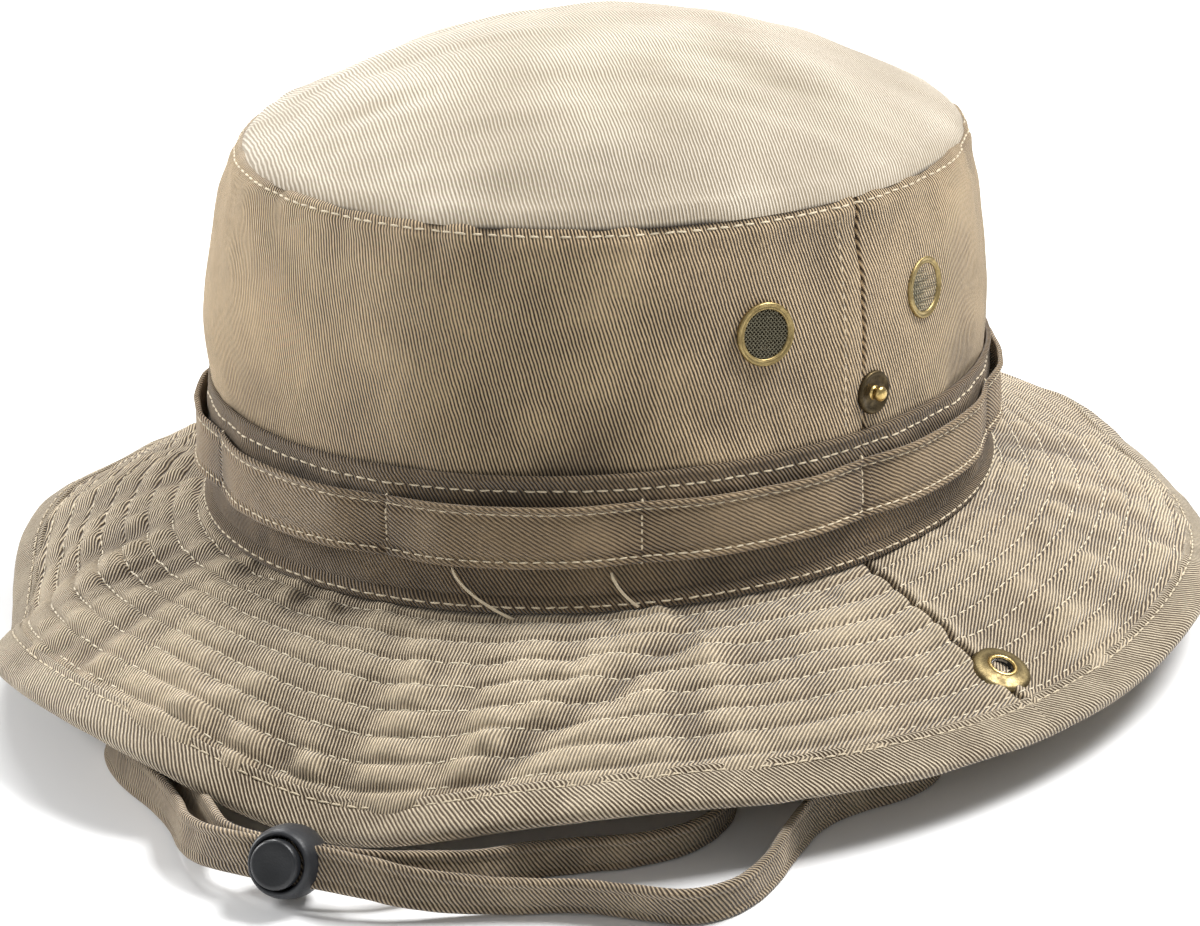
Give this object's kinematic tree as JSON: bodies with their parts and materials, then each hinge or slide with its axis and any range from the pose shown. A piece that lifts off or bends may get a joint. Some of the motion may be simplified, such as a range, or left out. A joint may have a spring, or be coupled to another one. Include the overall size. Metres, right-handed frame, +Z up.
{
  "type": "boonie hat",
  "caption": "Soft round sun hat with a quilted drooping brim that snaps up at the sides, mesh vents, a loop band and an adjustable chin strap.",
  "frame": {"origin": "centre of the head opening, in the plane of the seam between crown and brim", "axes": "+Z up through the crown; -Y towards the front of the hat; +X towards the wearer's left"},
  "size_m": [0.2872, 0.3241, 0.1467],
  "materials": {
    "crown_twill": "washed khaki cotton twill",
    "brim_twill": "washed khaki cotton twill, stitched",
    "webbing": "twill tape, edge stitched",
    "binding": "folded cotton twill",
    "lining": "plain cotton",
    "strap_tape": "woven flat tape",
    "brass": "antiqued",
    "vent_wire": "dark woven wire",
    "spring_steel": "bright",
    "black_plastic": "moulded, fine texture"
  },
  "bodies": {
    "hat": {"crown_panel_front": "crown_twill", "crown_panel_back": "crown_twill", "crown_top_panel": "crown_twill", "top_seam_tape": "lining", "side_seam_tape_left": "lining", "side_seam_tape_right": "lining", "hatband": "crown_twill", "loop_tape": "webbing", "sweatband": "lining", "brim_seam_welt": "brim_twill", "brim_upper_front": "brim_twill", "brim_upper_back": "brim_twill", "brim_lower_front": "brim_twill", "brim_lower_back": "brim_twill", "brim_binding_front": "binding", "brim_binding_back": "binding", "snap_stud_left": "brass", "snap_stud_right": "brass", "snap_post_left": "brass", "snap_post_right": "brass", "vent_eyelet_left_front": "brass", "vent_eyelet_left_back": "brass", "vent_eyelet_right_front": "brass", "vent_eyelet_right_back": "brass", "vent_mesh_left_front": "vent_wire", "vent_mesh_left_back": "vent_wire", "vent_mesh_right_front": "vent_wire", "vent_mesh_right_back": "vent_wire", "vent_washer_left_front": "brass", "vent_washer_left_back": "brass", "vent_washer_right_front": "brass", "vent_washer_right_back": "brass", "chin_strap": "strap_tape", "strap_tab_left": "strap_tape", "strap_tab_right": "strap_tape"},
    "brim_left": {"brim_upper_left": "brim_twill", "brim_lower_left": "brim_twill", "brim_binding_left": "binding", "snap_socket_left": "brass", "socket_spring_left": "spring_steel", "snap_cap_left": "brass"},
    "brim_right": {"brim_upper_right": "brim_twill", "brim_lower_right": "brim_twill", "brim_binding_right": "binding", "snap_socket_right": "brass", "socket_spring_right": "spring_steel", "snap_cap_right": "brass"},
    "cord_lock": {"cord_lock_body": "black_plastic", "cord_lock_spring": "spring_steel"},
    "lock_button": {"cord_lock_button": "black_plastic"}
  },
  "joints": [
    {"name": "brim_left_fold", "type": "hinge", "parent": "hat", "child": "brim_left", "pos_m": [0.0883, 0, -0.0005], "axis": [0, -1, 0], "range_deg": [0, 113.7]},
    {"name": "brim_right_fold", "type": "hinge", "parent": "hat", "child": "brim_right", "pos_m": [-0.0883, 0, -0.0005], "axis": [0, 1, 0], "range_deg": [0, 113.7]},
    {"name": "lock_slide", "type": "slide", "parent": "hat", "child": "cord_lock", "axis": [0.891, 0.454, 0], "range_m": [-0.004, 0.004]},
    {"name": "button_press", "type": "slide", "parent": "cord_lock", "child": "lock_button", "axis": [-0.4266, 0.8373, -0.342], "range_m": [0, 0.0029], "stiffness_N_per_m": 300, "springref_m": -0.003, "deforming": ["cord_lock_spring"]}
  ]
}
